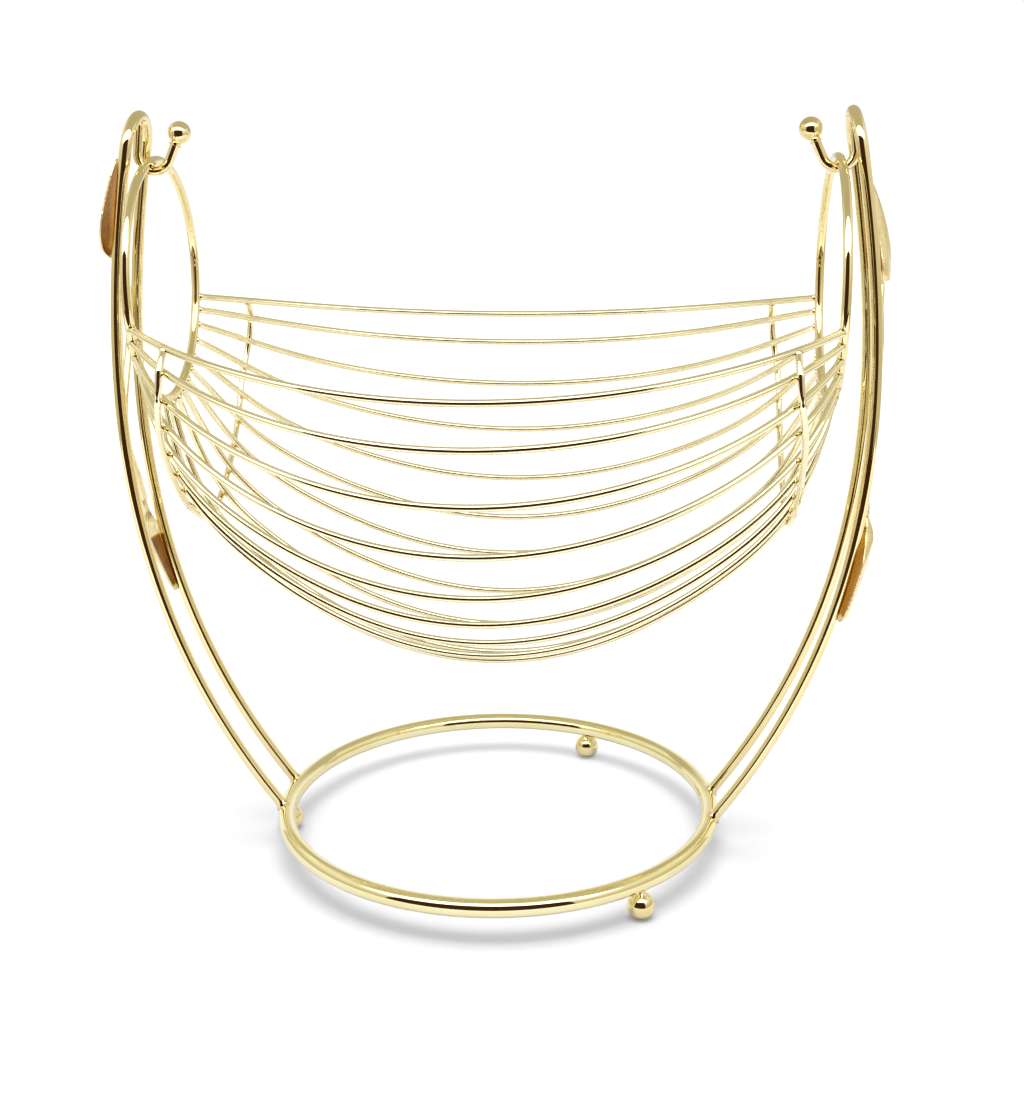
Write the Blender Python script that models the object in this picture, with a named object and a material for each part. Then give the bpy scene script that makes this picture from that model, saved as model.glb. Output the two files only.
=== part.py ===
"""Wire fruit basket hung between two curved arms on a ring base.

A long cradle of sagging wires runs between two upright end rings. Each end
ring rests in a ball-tipped J hook under the top of a hairpin arm, so the
cradle swings front to back. X runs along the cradle, Y from front to back
and Z up. The origin is under the middle of the base, on the table.
"""

import math

import bmesh
import bpy
import numpy as np
from mathutils import Matrix

# Base ring and its ball feet, which sit a little outside the ring's centreline
BASE_RADIUS = 0.098
BASE_ROD_RADIUS = 0.004
FOOT_RADIUS = 0.006
FOOT_FLAT_CUT = 0.0002
FOOT_OUTSET = 0.001
FOOT_ANGLES = {
    "back": math.radians(67.5),
    "left": math.radians(180.0),
    "front": math.radians(312.5),
}

# Hairpin arms: two rods side by side, joined by a round bend at the top. The
# outsets say how much further out than the top the bulges pull them
ARM_ROD_RADIUS = 0.0025
ARM_ROD_SPACING = 0.028
ARM_LOW_BULGE_OUTSET = 0.0176
ARM_LOW_BULGE_HEIGHT = 0.109
ARM_HIGH_BULGE_OUTSET = 0.0194
ARM_HIGH_BULGE_HEIGHT = 0.2116
ARM_TOP_REACH = 0.1502
ARM_TOP_HEIGHT = 0.3132

# Hooks under the tops of the arms, their bends inward of and below the rods' tops
HOOK_ROD_RADIUS = 0.002
HOOK_SETBACK = 0.0077
HOOK_DROP = 0.0086
HOOK_BEND_RADIUS = 0.0070
HOOK_LEAN = math.radians(24.5)
HOOK_BALL_RADIUS = 0.00475
HOOK_TIP_LENGTH = 0.0127

# Upright end rings of the cradle, which hang in the hooks' bends
END_RING_RADIUS = 0.0505
END_RING_ROD_RADIUS = 0.002

# Long wires: their angle at the end rings, their middle section, as drops
# below the swing axis, and how they leave it, as a blend of two powers
WIRE_RADIUS = 0.0015
RIM_WIRE_ANGLE = math.radians(15.2)
RIM_HALF_WIDTH = 0.1113
RIM_DROP = 0.0762
SHOULDER_HALF_WIDTH = 0.156
SHOULDER_DROP = 0.1197
BOTTOM_HALF_WIDTH = 0.0517
BOTTOM_DROP = 0.2133
RIM_SPREAD_SHARE = 0.89
BOTTOM_SPREAD_SHARE = 0.51
RIM_SAG_SHARE = 0.86
BOTTOM_SAG_SHARE = 0.67
RIM_SPREAD_POWER = 8
BOTTOM_SPREAD_POWER = 36
RIM_SAG_POWER = 2.5
BOTTOM_SAG_POWER = 19

# Where the pairs of long wires lie between the rim and the bottom
WIRE_LANE_SHARES = (0.0, 0.09, 0.195, 0.31, 0.44, 0.55, 0.655, 0.77, 0.88)

# Cross ribs under the wires, set back from the end rings
RIB_ROD_RADIUS = 0.0015
RIB_SETBACK = 0.0172
RIB_TUCK_SHARE = 0.07
RIB_RIM_GAP = 0.0008

# Leaves on the outer side of each arm: spoons that stand off the rods between
# base and tip, with one long edge tucked in towards the middle of the arm
LEAF_THICKNESS = 0.0012
LEAF_CROWN = 0.006
LEAF_FREE_EDGE_DROP = 0.0035
LEAF_TUCKED_EDGE_DROP = 0.0055
UPPER_LEAF_HALF_WIDTH = 0.015
UPPER_LEAF_LENGTH = 0.0425
UPPER_LEAF_TIP_OFFSET = 0.012
UPPER_LEAF_TIP_DROPS = {"left": 0.0035, "right": 0.012}
LOWER_LEAF_HALF_WIDTH = 0.012
LOWER_LEAF_LENGTH = 0.045
LOWER_LEAF_TIP_OFFSET = -0.014
LOWER_LEAF_BASE_HEIGHT = 0.160

# Where a leaf is highest, how much of its crown is left towards its tip, and
# the last stretch, in which the tip turns in to the rods
UPPER_LEAF_CREST_SHARE = 0.18
UPPER_LEAF_TIP_LIFT_SHARE = 0.26
LOWER_LEAF_CREST_SHARE = 0.29
LOWER_LEAF_TIP_LIFT_SHARE = 0.78
LEAF_SINK_POWER = 1.5
LEAF_FOOT_SHARE = 0.08

# Distance along a leaf from its base, and half-width there
LEAF_OUTLINE_SHARES = (
    (0.00, 0.20), (0.02, 0.38), (0.05, 0.57), (0.10, 0.76), (0.16, 0.90), (0.23, 0.98), (0.30, 1.00),
    (0.42, 0.93), (0.55, 0.78), (0.70, 0.58), (0.83, 0.40), (0.93, 0.26), (1.00, 0.14),
)

# Wavy stem between the two leaves of an arm, a little outside its rods
STEM_RADIUS = 0.0016
STEM_OUTSET = 0.002
STEM_WAVE_LENGTH = 0.094
STEM_CREST_HEIGHT = 0.240
STEM_DRIFT = 0.002
STEM_RISE = 0.012
STEM_LEAF_GAP = 0.0017

# Gap between pieces that are welded or that rest on each other
GAP = 0.0003

# How finely round shapes and curves are divided
BALL_SEGMENTS = 16
BALL_RINGS = 11
BALL_CREASE_ANGLE = math.radians(40.0)
BASE_CORNERS = 60
END_RING_CORNERS = 48
ARM_SIDE_POINTS = 26
BEND_POINTS = 13
STRAIGHT_POINTS = 5
WIRE_POINTS = 29
RIB_POINTS = 38
STEM_POINTS = 34
LEAF_ROWS = 17
LEAF_COLUMNS = 9
TABLE_POINTS = 200

FOOT_CIRCLE_RADIUS = BASE_RADIUS + FOOT_OUTSET
FOOT_CENTRE_HEIGHT = FOOT_RADIUS - FOOT_FLAT_CUT
BASE_HEIGHT = FOOT_CENTRE_HEIGHT + math.sqrt((BASE_ROD_RADIUS + FOOT_RADIUS + GAP) ** 2 - FOOT_OUTSET ** 2)
HALF_SPACING = ARM_ROD_SPACING / 2.0
SWING_HEIGHT = ARM_TOP_HEIGHT - HOOK_DROP
END_RING_REACH = ARM_TOP_REACH - HOOK_SETBACK
END_RING_HEIGHT = SWING_HEIGHT + HOOK_ROD_RADIUS + GAP + END_RING_ROD_RADIUS - END_RING_RADIUS
RIB_REACH = END_RING_REACH - RIB_SETBACK
LOWER_LEAF_TIP_HEIGHT = LOWER_LEAF_BASE_HEIGHT - LOWER_LEAF_LENGTH
STEM_SWAY = HALF_SPACING - math.sqrt((ARM_ROD_RADIUS + STEM_RADIUS + GAP) ** 2 - STEM_OUTSET ** 2)


def clear_scene():
    """Remove every object of the open scene."""
    for thing in list(bpy.data.objects):
        bpy.data.objects.remove(thing, do_unlink=True)


def gold(name, colour, roughness):
    """Return a polished pale-gold metal."""
    material = bpy.data.materials.new(name)
    material.use_nodes = True
    shader = material.node_tree.nodes["Principled BSDF"]
    shader.inputs["Base Color"].default_value = (*colour, 1.0)
    shader.inputs["Metallic"].default_value = 1.0
    shader.inputs["Roughness"].default_value = roughness
    return material


def add(name, data, material, parent=None, location=(0.0, 0.0, 0.0)):
    """Link an object at a world location, kept there under its parent."""
    thing = bpy.data.objects.new(name, data)
    data.materials.append(material)
    bpy.context.scene.collection.objects.link(thing)
    thing.location = location
    if parent is not None:
        thing.parent = parent
        thing.matrix_parent_inverse = Matrix.Translation(parent.location).inverted()
    return thing


def rod(name, points, radius, material, parent=None, closed=False, sides_level=2):
    """Sweep a round rod along points, with flat ends or as a closed loop."""
    curve = bpy.data.curves.new(name, "CURVE")
    curve.dimensions = "3D"
    curve.bevel_depth = radius
    curve.bevel_resolution = sides_level
    curve.use_fill_caps = True
    spline = curve.splines.new("POLY")
    spline.points.add(len(points) - 1)
    spline.points.foreach_set("co", np.column_stack((points, np.ones(len(points)))).ravel())
    spline.use_cyclic_u = closed
    spline.use_smooth = True
    return add(name, curve, material, parent)


def ball(name, centre, radius, material, flat_height=None):
    """Make a ball, cut flat at a height if one is given."""
    mesh = bpy.data.meshes.new(name)
    shape = bmesh.new()
    bmesh.ops.create_uvsphere(shape, u_segments=BALL_SEGMENTS, v_segments=BALL_RINGS, radius=radius)
    if flat_height is not None:
        everything = shape.verts[:] + shape.edges[:] + shape.faces[:]
        cut = bmesh.ops.bisect_plane(
            shape, geom=everything, plane_co=(0.0, 0.0, flat_height - centre[2]),
            plane_no=(0.0, 0.0, -1.0), clear_outer=True)
        rim = [part for part in cut["geom_cut"] if isinstance(part, bmesh.types.BMEdge)]
        bmesh.ops.edgeloop_fill(shape, edges=rim)
    shape.to_mesh(mesh)
    shape.free()
    mesh.shade_smooth()
    mesh.set_sharp_from_angle(angle=BALL_CREASE_ANGLE)
    return add(name, mesh, material, location=centre)


def bezier(controls, count):
    """Return points along a cubic curve through its first and last controls."""
    share = np.linspace(0.0, 1.0, count)[:, None]
    rest = 1.0 - share
    start, first, second, end = (np.array(control) for control in controls)
    near_start = rest ** 3 * start + 3.0 * rest ** 2 * share * first
    near_end = 3.0 * rest * share ** 2 * second + share ** 3 * end
    return near_start + near_end


def mixed(start, end, share):
    """Return the value a share of the way from start to end."""
    return start + (end - start) * share


def eased(share):
    """Return a share that leaves 0 and reaches 1 without a kink."""
    return share ** 2 * (3.0 - 2.0 * share)


def shortened(points, start_trim, end_trim):
    """Cut both ends of a path back to the given distances from its end points."""
    for trim in (start_trim, end_trim):
        far = np.linalg.norm(points - points[0], axis=1)
        keep = int(np.argmax(far > trim))
        share = (trim - far[keep - 1]) / (far[keep] - far[keep - 1])
        cut = mixed(points[keep - 1], points[keep], share)
        points = np.vstack((cut, points[keep:]))[::-1]
    return points


def turned(points, side):
    """Turn points half a turn about Z for the left side."""
    return points * np.array((side, side, 1.0))


def ring_points(radius, count):
    """Return the corners of a round loop as two columns."""
    angle = np.linspace(0.0, 2.0 * math.pi, count, endpoint=False)
    return radius * np.cos(angle), radius * np.sin(angle)


def make_base(material):
    """Make the base ring and its three ball feet."""
    across, deep = ring_points(BASE_RADIUS, BASE_CORNERS)
    points = np.column_stack((across, deep, np.full(across.size, BASE_HEIGHT)))
    rod("base_ring", points, BASE_ROD_RADIUS, material, closed=True)
    for word, angle in FOOT_ANGLES.items():
        reach = FOOT_CIRCLE_RADIUS * math.cos(angle)
        deep = FOOT_CIRCLE_RADIUS * math.sin(angle)
        ball("foot_ball_" + word, (reach, deep, FOOT_CENTRE_HEIGHT), FOOT_RADIUS, material, flat_height=0.0)


def arm_side_curve(count):
    """Return reach and height along one rod of an arm, from the base up."""
    weld_reach = math.sqrt(BASE_RADIUS ** 2 - HALF_SPACING ** 2)
    return bezier((
        (weld_reach, BASE_HEIGHT),
        (ARM_TOP_REACH + ARM_LOW_BULGE_OUTSET, ARM_LOW_BULGE_HEIGHT),
        (ARM_TOP_REACH + ARM_HIGH_BULGE_OUTSET, ARM_HIGH_BULGE_HEIGHT),
        (ARM_TOP_REACH, ARM_TOP_HEIGHT)), count)


def arm_lean():
    """Return the direction in which an arm's rods run at their top."""
    lean = np.array((-ARM_HIGH_BULGE_OUTSET, ARM_TOP_HEIGHT - ARM_HIGH_BULGE_HEIGHT))
    return lean / np.linalg.norm(lean)


def arm_point(heights, outward):
    """Return reach and height of points beside an arm at rod heights."""
    curve = arm_side_curve(TABLE_POINTS)
    slope = np.gradient(curve[:, 0], curve[:, 1])
    reach = np.interp(heights, curve[:, 1], curve[:, 0])
    tilt = np.interp(heights, curve[:, 1], slope)
    length = np.sqrt(1.0 + tilt ** 2)
    return reach + outward / length, heights - outward * tilt / length


def arm_path():
    """Return the path of the right arm: up the front rod, over and down the back one."""
    side = arm_side_curve(ARM_SIDE_POINTS)
    front = np.column_stack((side[:, 0], np.full(side.shape[0], -HALF_SPACING), side[:, 1]))
    back = front[::-1] * np.array((1.0, -1.0, 1.0))
    angle = np.linspace(0.0, math.pi, BEND_POINTS)[1:-1]
    lift = HALF_SPACING * np.sin(angle)
    lean = arm_lean()
    bend = np.column_stack((
        ARM_TOP_REACH + lean[0] * lift,
        -HALF_SPACING * np.cos(angle),
        ARM_TOP_HEIGHT + lean[1] * lift))
    return np.vstack((front, bend, back))


def make_arm(word, side, material):
    """Make one hairpin arm, its ends set against the base ring."""
    trim = BASE_ROD_RADIUS + GAP
    rod("arm_" + word, turned(shortened(arm_path(), trim, trim), side), ARM_ROD_RADIUS, material)


def hook_path():
    """Return the J path from the middle of the arm's bend to the middle of the ball."""
    lean = arm_lean()
    top = (ARM_TOP_REACH + lean[0] * HALF_SPACING, ARM_TOP_HEIGHT + lean[1] * HALF_SPACING)
    bend_height = SWING_HEIGHT + HOOK_BEND_RADIUS
    shank = np.linspace(top, (END_RING_REACH + HOOK_BEND_RADIUS, bend_height), STRAIGHT_POINTS)
    angle = -np.linspace(0.0, math.pi - HOOK_LEAN, BEND_POINTS)[1:]
    bend = np.column_stack((
        END_RING_REACH + HOOK_BEND_RADIUS * np.cos(angle),
        bend_height + HOOK_BEND_RADIUS * np.sin(angle)))
    along = np.linspace(0.0, HOOK_TIP_LENGTH, STRAIGHT_POINTS)[1:, None]
    tip = bend[-1] + along * np.array((-math.sin(HOOK_LEAN), math.cos(HOOK_LEAN)))
    flat = np.vstack((shank, bend, tip))
    return np.column_stack((flat[:, 0], np.zeros(flat.shape[0]), flat[:, 1]))


def make_hook(word, side, material):
    """Make one J hook and the ball on its tip."""
    path = turned(hook_path(), side)
    trimmed = shortened(path, ARM_ROD_RADIUS + GAP, HOOK_BALL_RADIUS + GAP)
    rod("hook_" + word, trimmed, HOOK_ROD_RADIUS, material)
    ball("hook_ball_" + word, path[-1], HOOK_BALL_RADIUS, material)


def stem_sway(heights):
    """Return how far the stem lies to the back of the right arm's middle."""
    wave = np.cos(2.0 * math.pi * (STEM_CREST_HEIGHT - heights) / STEM_WAVE_LENGTH)
    return -STEM_DRIFT - (STEM_SWAY - STEM_DRIFT) * wave


def leaf_lift(along, crest_share, tip_lift_share):
    """Return how much of the crown stands at a share of the way from base to tip.

    It rises by a quarter wave to the crest, sinks by a power of the way past
    it, and falls back to nothing by a quarter wave over the foot at the tip.
    """
    rising = np.sin(np.minimum(along / crest_share, 1.0) * math.pi / 2.0)
    past = np.clip((along - crest_share) / (1.0 - crest_share), 0.0, 1.0)
    sinking = mixed(1.0, tip_lift_share, past ** LEAF_SINK_POWER)
    foot = np.sin(np.minimum((1.0 - along) / LEAF_FOOT_SHARE, 1.0) * math.pi / 2.0)
    return rising * sinking * foot


def leaf_points(base_height, tip_height, tip_offset, half_width, lift_shares):
    """Return the inner face of a leaf on the right arm, as rows from base to tip.

    Each row is crowned: it falls from the middle line with the square of the
    distance, less towards the free edge than towards the tucked one. Rows lie
    closer together at the base and the tip, where the leaf turns in.
    """
    table = np.array(LEAF_OUTLINE_SHARES)
    along = (1.0 - np.cos(np.linspace(0.0, math.pi, LEAF_ROWS)))[:, None] / 2.0
    across = np.linspace(-1.0, 1.0, LEAF_COLUMNS)[None, :]
    row_half_width = half_width * np.interp(along, table[:, 0], table[:, 1])
    middle = mixed(tip_offset, stem_sway(base_height), (1.0 - along) ** 2)
    heights = mixed(base_height, tip_height, along) + np.zeros_like(across)
    on_free_side = across * math.copysign(1.0, tip_offset) > 0.0
    edge_drop = np.where(on_free_side, LEAF_FREE_EDGE_DROP, LEAF_TUCKED_EDGE_DROP)
    rise = (LEAF_CROWN - edge_drop * across ** 2) * leaf_lift(along, *lift_shares)
    reach, level = arm_point(heights, ARM_ROD_RADIUS + GAP + rise)
    return np.stack((reach, middle + row_half_width * across, level), axis=-1)


def make_leaf(name, points, material):
    """Make one cupped leaf from its inner face, thickened outwards."""
    faces = []
    for row in range(LEAF_ROWS - 1):
        for column in range(LEAF_COLUMNS - 1):
            corner = row * LEAF_COLUMNS + column
            faces.append((corner, corner + 1, corner + LEAF_COLUMNS + 1, corner + LEAF_COLUMNS))
    if points[-1, 0, 2] < points[0, 0, 2]:
        faces = [face[::-1] for face in faces]
    mesh = bpy.data.meshes.new(name)
    mesh.from_pydata(points.reshape(-1, 3).tolist(), [], faces)
    mesh.shade_smooth()
    leaf = add(name, mesh, material)
    skin = leaf.modifiers.new("Thickness", "SOLIDIFY")
    skin.thickness = LEAF_THICKNESS
    skin.offset = 1.0


def make_stem(word, side, upper_leaf_base_height, material):
    """Make the wavy stem that weaves between the rods from leaf to leaf."""
    upper_end = upper_leaf_base_height - STEM_LEAF_GAP
    lower_end = LOWER_LEAF_BASE_HEIGHT + STEM_LEAF_GAP
    heights = np.linspace(upper_end, lower_end, STEM_POINTS)
    from_end = np.minimum(upper_end - heights, heights - lower_end)
    closeness = np.clip(1.0 - from_end / STEM_RISE, 0.0, 1.0)
    outward = mixed(STEM_OUTSET, ARM_ROD_RADIUS + GAP + LEAF_THICKNESS / 2.0, eased(closeness))
    reach, level = arm_point(heights, outward)
    points = np.column_stack((reach, stem_sway(heights), level))
    rod("vine_stem_" + word, turned(points, side), STEM_RADIUS, material, sides_level=1)


def make_vine(word, side, material):
    """Make the two leaves and the stem on one arm."""
    upper_tip_height = ARM_TOP_HEIGHT - UPPER_LEAF_TIP_DROPS[word]
    upper_base_height = upper_tip_height - UPPER_LEAF_LENGTH
    upper = leaf_points(
        upper_base_height, upper_tip_height, UPPER_LEAF_TIP_OFFSET, UPPER_LEAF_HALF_WIDTH,
        (UPPER_LEAF_CREST_SHARE, UPPER_LEAF_TIP_LIFT_SHARE))
    lower = leaf_points(
        LOWER_LEAF_BASE_HEIGHT, LOWER_LEAF_TIP_HEIGHT, LOWER_LEAF_TIP_OFFSET, LOWER_LEAF_HALF_WIDTH,
        (LOWER_LEAF_CREST_SHARE, LOWER_LEAF_TIP_LIFT_SHARE))
    make_leaf("upper_leaf_" + word, turned(upper, side), material)
    make_leaf("lower_leaf_" + word, turned(lower, side), material)
    make_stem(word, side, upper_base_height, material)


def middle_section(lane):
    """Return half-width and height of the wires' middle section, from rim to bottom."""
    section = bezier((
        (RIM_HALF_WIDTH, SWING_HEIGHT - RIM_DROP),
        (SHOULDER_HALF_WIDTH, SWING_HEIGHT - SHOULDER_DROP),
        (BOTTOM_HALF_WIDTH, SWING_HEIGHT - BOTTOM_DROP),
        (0.0, SWING_HEIGHT - BOTTOM_DROP)), TABLE_POINTS)
    steps = np.linalg.norm(np.diff(section, axis=0), axis=1)
    length = np.concatenate(((0.0,), np.cumsum(steps)))
    place = np.asarray(lane) * length[-1]
    return np.interp(place, length, section[:, 0]), np.interp(place, length, section[:, 1])


def cradle_point(lane, station):
    """Return half-width, height and reach on the cradle's surface.

    The lane runs from the rim wire at 0 to the bottom wire at 1. The station
    runs from the left end ring at -1 to the right end ring at 1. Width and
    height leave the middle section with the square of the distance, and turn
    to the end ring with a high power of it.
    """
    away = np.abs(station)
    middle_width, middle_height = middle_section(lane)
    angle = mixed(RIM_WIRE_ANGLE, math.pi / 2.0, lane)
    end_width = END_RING_RADIUS * np.cos(angle)
    end_height = END_RING_HEIGHT - END_RING_RADIUS * np.sin(angle)
    spread = mixed(RIM_SPREAD_SHARE, BOTTOM_SPREAD_SHARE, lane)
    sag = mixed(RIM_SAG_SHARE, BOTTOM_SAG_SHARE, lane)
    spread_power = mixed(RIM_SPREAD_POWER, BOTTOM_SPREAD_POWER, lane)
    sag_power = mixed(RIM_SAG_POWER, BOTTOM_SAG_POWER, lane)
    width = mixed(middle_width, end_width, mixed(away ** spread_power, away ** 2, spread))
    height = mixed(middle_height, end_height, mixed(away ** sag_power, away ** 2, sag))
    return width, height, END_RING_REACH * station


def wire_path(lane, side):
    """Return one long wire from ring to ring, on the front (-1) or back (1)."""
    station = np.sin(np.linspace(-0.5, 0.5, WIRE_POINTS) * math.pi)
    width, height, reach = cradle_point(lane, station)
    trim = END_RING_ROD_RADIUS + GAP
    return shortened(np.column_stack((reach, side * width, height)), trim, trim)


def make_wires(material, pivot):
    """Make the long wires, in pairs from rim to bottom and one along the bottom."""
    for place, lane in enumerate(WIRE_LANE_SHARES, start=1):
        for word, side in (("front", -1.0), ("back", 1.0)):
            name = "wire_{}_{}".format(word, place)
            rod(name, wire_path(lane, side), WIRE_RADIUS, material, pivot, sides_level=1)
    rod("wire_bottom", wire_path(1.0, 1.0), WIRE_RADIUS, material, pivot, sides_level=1)


def surface_point(turn, station):
    """Return a point of the cradle's surface; turn is -1 at the front rim, 1 at the back."""
    width, height, reach = cradle_point(1.0 - abs(turn), station)
    return np.array((reach, math.copysign(1.0, turn) * width, height))


def rib_point(turn, lift):
    """Return a point of a rib's path, lifted square off the cradle's outer side."""
    station = RIB_REACH / END_RING_REACH
    step_share = 0.001
    inner = surface_point(max(-1.0, turn - step_share), station)
    outer = surface_point(min(1.0, turn + step_share), station)
    along = surface_point(turn, station + step_share) - surface_point(turn, station - step_share)
    outward = np.cross(outer - inner, along)
    return surface_point(turn, station) + lift * outward / np.linalg.norm(outward)


def rib_path():
    """Return the right rib's U, tucked under the rim wires at both ends."""
    full_lift = WIRE_RADIUS + RIB_ROD_RADIUS + GAP
    points = []
    for turn in np.linspace(-1.0, 1.0, RIB_POINTS):
        tuck = min(1.0, (1.0 - abs(turn)) / RIB_TUCK_SHARE)
        points.append(rib_point(turn, full_lift * eased(tuck)))
    trim = WIRE_RADIUS + RIB_RIM_GAP
    return shortened(np.array(points), trim, trim)


def make_cradle(wire_material, rod_material, pivot):
    """Make the swinging cradle: end rings, long wires and cross ribs."""
    deep, up = ring_points(END_RING_RADIUS, END_RING_CORNERS)
    for word, side in (("left", -1.0), ("right", 1.0)):
        points = np.column_stack((np.full(deep.size, side * END_RING_REACH), deep, END_RING_HEIGHT + up))
        rod("end_ring_" + word, points, END_RING_ROD_RADIUS, rod_material, pivot, closed=True)
        rod("rib_" + word, turned(rib_path(), side), RIB_ROD_RADIUS, rod_material, pivot, sides_level=1)
    make_wires(wire_material, pivot)


def make_pivot():
    """Make the empty that marks the axis on which the cradle swings."""
    pivot = bpy.data.objects.new("cradle_pivot", None)
    bpy.context.scene.collection.objects.link(pivot)
    pivot.location = (0.0, 0.0, SWING_HEIGHT)
    return pivot


def recentre_on_pivot(pivot):
    """Give the cradle's pieces their origins on the swing axis."""
    for piece in pivot.children:
        shift = pivot.location.copy()
        piece.data.transform(Matrix.Translation(-shift))
        piece.location = shift


def main():
    """Build the whole basket."""
    clear_scene()
    rod_gold = gold("polished_gold_rod", (0.83, 0.66, 0.33), 0.12)
    wire_gold = gold("polished_gold_wire", (0.86, 0.70, 0.38), 0.14)
    leaf_gold = gold("cast_gold_leaf", (0.80, 0.60, 0.28), 0.22)
    make_base(rod_gold)
    for word, side in (("left", -1.0), ("right", 1.0)):
        make_arm(word, side, rod_gold)
        make_hook(word, side, rod_gold)
        make_vine(word, side, leaf_gold)
    pivot = make_pivot()
    make_cradle(wire_gold, rod_gold, pivot)
    recentre_on_pivot(pivot)


main()
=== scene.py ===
import math

import bpy
import numpy as np
from mathutils import Matrix, Vector


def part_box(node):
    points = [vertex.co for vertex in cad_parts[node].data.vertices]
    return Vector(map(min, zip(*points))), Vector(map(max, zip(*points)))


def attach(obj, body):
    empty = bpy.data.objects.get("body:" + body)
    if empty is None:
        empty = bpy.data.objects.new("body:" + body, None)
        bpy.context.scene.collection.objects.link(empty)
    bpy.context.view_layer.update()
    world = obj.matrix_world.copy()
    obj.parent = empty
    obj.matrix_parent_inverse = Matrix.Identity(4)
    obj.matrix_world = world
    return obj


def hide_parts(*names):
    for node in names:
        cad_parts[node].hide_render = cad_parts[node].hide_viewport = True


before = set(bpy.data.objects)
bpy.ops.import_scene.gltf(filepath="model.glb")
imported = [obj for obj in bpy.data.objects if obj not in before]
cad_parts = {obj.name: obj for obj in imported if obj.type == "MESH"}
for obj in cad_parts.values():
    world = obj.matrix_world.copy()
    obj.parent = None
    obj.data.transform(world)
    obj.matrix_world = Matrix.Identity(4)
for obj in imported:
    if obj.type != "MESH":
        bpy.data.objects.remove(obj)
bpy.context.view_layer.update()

# Base ring
# One ring of 8 mm steel rod, bent round, butt welded and polished, then plated
# pale gold like everything on the basket. The whole stand is welded onto it.

BASE_SIDES = 48
BASE_STEPS = 420
PALE_GOLD = (0.925, 0.805, 0.475)
WARM_GOLD = (0.840, 0.650, 0.270)
AMBER = (0.520, 0.235, 0.030)


def unit(vectors):
    """Scale each vector to length 1."""
    return vectors / np.linalg.norm(vectors, axis=-1, keepdims=True)


def mixed(start, end, share):
    """Return the value a share of the way from start to end."""
    return start + (end - start) * share


def eased(share):
    """Return a share that leaves 0 and reaches 1 without a kink: its square times 3 less twice itself."""
    share = np.clip(share, 0.0, 1.0)
    return share ** 2 * (3.0 - 2.0 * share)


def distance_along(path, closed):
    """Return how far each point of a path is from its start, or from a loop's joint by the nearer way."""
    steps = np.linalg.norm(np.diff(path, axis=0), axis=1)
    along = np.concatenate(((0.0,), np.cumsum(steps)))
    if closed:
        whole = along[-1] + np.linalg.norm(path[0] - path[-1])
        along = np.minimum(along, whole - along)
    return along


def skinned(grid, place, tips=None):
    """Close a grid of loops into a skin.

    Each row is a loop that turns counter-clockwise, seen against the way from
    row to row. Without tips the last row joins the first. With two tips a fan
    round each closes the ends. Returns points, faces and each point's place.
    """
    rows, sides = grid.shape[:2]
    row, column = np.meshgrid(np.arange(rows if tips is None else rows - 1), np.arange(sides), indexing="ij")
    after, beside = (row + 1) % rows, (column + 1) % sides
    faces = np.stack((
        row * sides + column, row * sides + beside, after * sides + beside, after * sides + column), axis=-1)
    points, place = grid.reshape(-1, 3), place.reshape(-1, 3)
    faces = faces.reshape(-1, 4).tolist()
    if tips is not None:
        start, end, last = rows * sides, rows * sides + 1, (rows - 1) * sides
        points = np.vstack((points, *tips))
        place = np.vstack((place, place[:sides].mean(axis=0), place[-sides:].mean(axis=0)))
        faces += [(start, (edge + 1) % sides, edge) for edge in range(sides)]
        faces += [(end, last + edge, last + (edge + 1) % sides) for edge in range(sides)]
    return points, faces, place


def swept(path, radius, facing, sides, closed=False):
    """Carry a circle along a path.

    A point is the path's point plus the radius there times a unit vector that
    turns once round the path's direction, starting on the side nearest to
    facing. Its place on the rod is two coordinates round it and one along it.
    """
    path = np.asarray(path, dtype=float)
    if closed:
        direction = unit(np.roll(path, -1, axis=0) - np.roll(path, 1, axis=0))
    else:
        direction = unit(np.gradient(path, axis=0))
    side = unit(np.cross(direction, np.asarray(facing, dtype=float)))
    outer = np.cross(side, direction)
    turn = np.linspace(0.0, 2.0 * math.pi, sides, endpoint=False)
    spoke = np.cos(turn)[None, :, None] * outer[:, None, :] + np.sin(turn)[None, :, None] * side[:, None, :]
    thick = np.broadcast_to(np.asarray(radius, dtype=float), (len(path),))
    along = distance_along(path, closed)
    place = np.stack(np.broadcast_arrays(
        thick[:, None] * np.cos(turn), thick[:, None] * np.sin(turn), along[:, None]), axis=-1)
    grid = path[:, None, :] + thick[:, None, None] * spoke
    return skinned(grid, place, None if closed else (path[0], path[-1]))


def near_welds(points, welds, reach):
    """Return 1 at a weld, falling to 0 a reach away from it, for each point."""
    closeness = np.zeros(len(points))
    for weld in np.atleast_2d(welds):
        far = np.linalg.norm(points - weld, axis=1)
        closeness = np.maximum(closeness, 1.0 - eased(far / reach))
    return closeness


# Each piece starts this much further along the pattern of its finish than the last
PATTERN_STEP = 0.37


def add_piece(name, shape, material, body, stands_for, tint=None):
    """Make a smooth piece that carries its place on the rod and its tint, which is 0 where it is pale."""
    points, faces, place = shape
    mesh = bpy.data.meshes.new(name)
    mesh.from_pydata(points.tolist(), [], faces)
    place = place + np.array((0.0, 0.0, PATTERN_STEP * len(bpy.data.meshes)))
    mesh.attributes.new("place", "FLOAT_VECTOR", "POINT").data.foreach_set("vector", place.ravel())
    tint = np.zeros(len(points)) if tint is None else tint
    mesh.attributes.new("tint", "FLOAT", "POINT").data.foreach_set("value", tint)
    mesh.shade_smooth()
    mesh.materials.append(material)
    piece = bpy.data.objects.new(name, mesh)
    bpy.context.scene.collection.objects.link(piece)
    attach(piece, body)
    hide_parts(*stands_for)


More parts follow.
